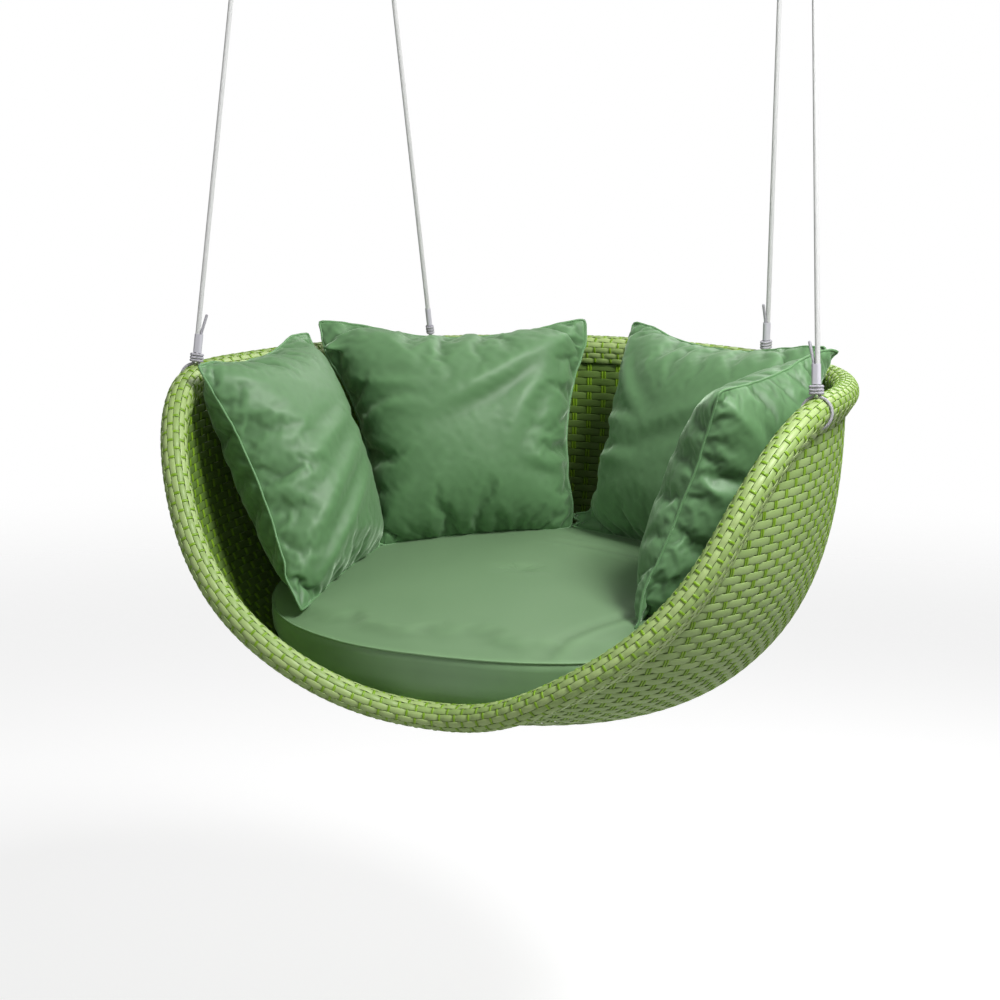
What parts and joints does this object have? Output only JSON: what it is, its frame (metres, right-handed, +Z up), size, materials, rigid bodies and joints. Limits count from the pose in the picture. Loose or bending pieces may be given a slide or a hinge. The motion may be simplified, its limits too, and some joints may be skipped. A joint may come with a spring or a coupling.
{
  "type": "hanging nest lounger swing",
  "caption": "Deep woven nest seat hung on ropes from ceiling brackets, with a round seat cushion and loose scatter pillows; it swings fore and aft.",
  "frame": {"origin": "centre of the ceiling face, midway between the two ceiling brackets", "axes": "+Z up, +X along the line through both brackets, +Y towards the nest's back"},
  "size_m": [1.3014, 1.003, 2.8792],
  "materials": {
    "galvanised_steel": "satin",
    "zinc_fasteners": "satin",
    "stainless": "polished",
    "bush_nylon": "matte",
    "rope": "matte",
    "tie_cord": "matte",
    "sleeve": "satin",
    "frame_paint": "satin",
    "woven_strap": "satin",
    "rim_strap": "satin",
    "seat_fabric": "satin",
    "pillow_fabric": "satin",
    "foam": "matte"
  },
  "bodies": {
    "hangers": {"hanger_bracket_left": "galvanised_steel", "hanger_bracket_right": "galvanised_steel", "pivot_bolt_left": "zinc_fasteners", "pivot_bolt_right": "zinc_fasteners", "pivot_nut_left": "zinc_fasteners", "pivot_nut_right": "zinc_fasteners", "pivot_washers_left": "zinc_fasteners", "pivot_washers_right": "zinc_fasteners"},
    "nest": {"base_ring": "frame_paint", "base_slats": "frame_paint", "carabiner_body_left": "stainless", "carabiner_body_right": "stainless", "carabiner_pin_left": "stainless", "carabiner_pin_right": "stainless", "frame_ribs": "frame_paint", "hanger_link_left": "galvanised_steel", "hanger_link_right": "galvanised_steel", "lower_sleeve_back_left": "sleeve", "lower_sleeve_back_right": "sleeve", "lower_sleeve_front_left": "sleeve", "lower_sleeve_front_right": "sleeve", "mid_hoop": "frame_paint", "pivot_bush_left": "bush_nylon", "pivot_bush_right": "bush_nylon", "rim_tube": "frame_paint", "rim_wrap": "rim_strap", "rope_back_left": "rope", "rope_back_right": "rope", "rope_front_left": "rope", "rope_front_right": "rope", "shell_inner_weave": "woven_strap", "shell_outer_weave": "woven_strap", "thimble_back_left": "stainless", "thimble_back_right": "stainless", "thimble_front_left": "stainless", "thimble_front_right": "stainless", "tie_cord_back_left": "tie_cord", "tie_cord_back_right": "tie_cord", "tie_cord_front_left": "tie_cord", "tie_cord_front_right": "tie_cord", "upper_sleeve_back_left": "sleeve", "upper_sleeve_back_right": "sleeve", "upper_sleeve_front_left": "sleeve", "upper_sleeve_front_right": "sleeve"},
    "gate_left": {"carabiner_gate_left": "stainless"},
    "gate_right": {"carabiner_gate_right": "stainless"},
    "seat_cushion": {"seat_cover": "seat_fabric", "seat_foam_core": "foam", "seat_piping": "seat_fabric"},
    "pillow_left": {"pillow_cover_left": "pillow_fabric", "pillow_insert_left": "foam"},
    "pillow_centre": {"pillow_cover_centre": "pillow_fabric", "pillow_insert_centre": "foam"},
    "pillow_back": {"pillow_cover_back": "pillow_fabric", "pillow_insert_back": "foam"},
    "pillow_right": {"pillow_cover_right": "pillow_fabric", "pillow_insert_right": "foam"}
  },
  "joints": [
    {"name": "nest_swing", "type": "hinge", "parent": "hangers", "child": "nest", "pos_m": [0, 0, -0.036], "axis": [1, 0, 0], "range_deg": [-35, 35]},
    {"name": "gate_left_hinge", "type": "hinge", "parent": "nest", "child": "gate_left", "pos_m": [-0.481, -0.0205, -0.143], "axis": [-1, 0, 0], "range_deg": [0, 24], "stiffness_Nm_per_rad": 0.05, "springref_deg": -5.73},
    {"name": "gate_right_hinge", "type": "hinge", "parent": "nest", "child": "gate_right", "pos_m": [0.481, -0.0205, -0.143], "axis": [-1, 0, 0], "range_deg": [0, 24], "stiffness_Nm_per_rad": 0.05, "springref_deg": -5.73},
    {"name": "seat_lift", "type": "slide", "parent": "nest", "child": "seat_cushion", "axis": [0, -0.0326, 0.9995], "range_m": [0, 0.25]},
    {"name": "pillow_left_lift", "type": "slide", "parent": "seat_cushion", "child": "pillow_left", "axis": [0, -0.0326, 0.9995], "range_m": [0, 0.35]},
    {"name": "pillow_centre_lift", "type": "slide", "parent": "seat_cushion", "child": "pillow_centre", "axis": [0, -0.0326, 0.9995], "range_m": [0, 0.35]},
    {"name": "pillow_back_lift", "type": "slide", "parent": "seat_cushion", "child": "pillow_back", "axis": [0, -0.0326, 0.9995], "range_m": [0, 0.35]},
    {"name": "pillow_right_lift", "type": "slide", "parent": "seat_cushion", "child": "pillow_right", "axis": [0, -0.0326, 0.9995], "range_m": [0, 0.35]}
  ]
}
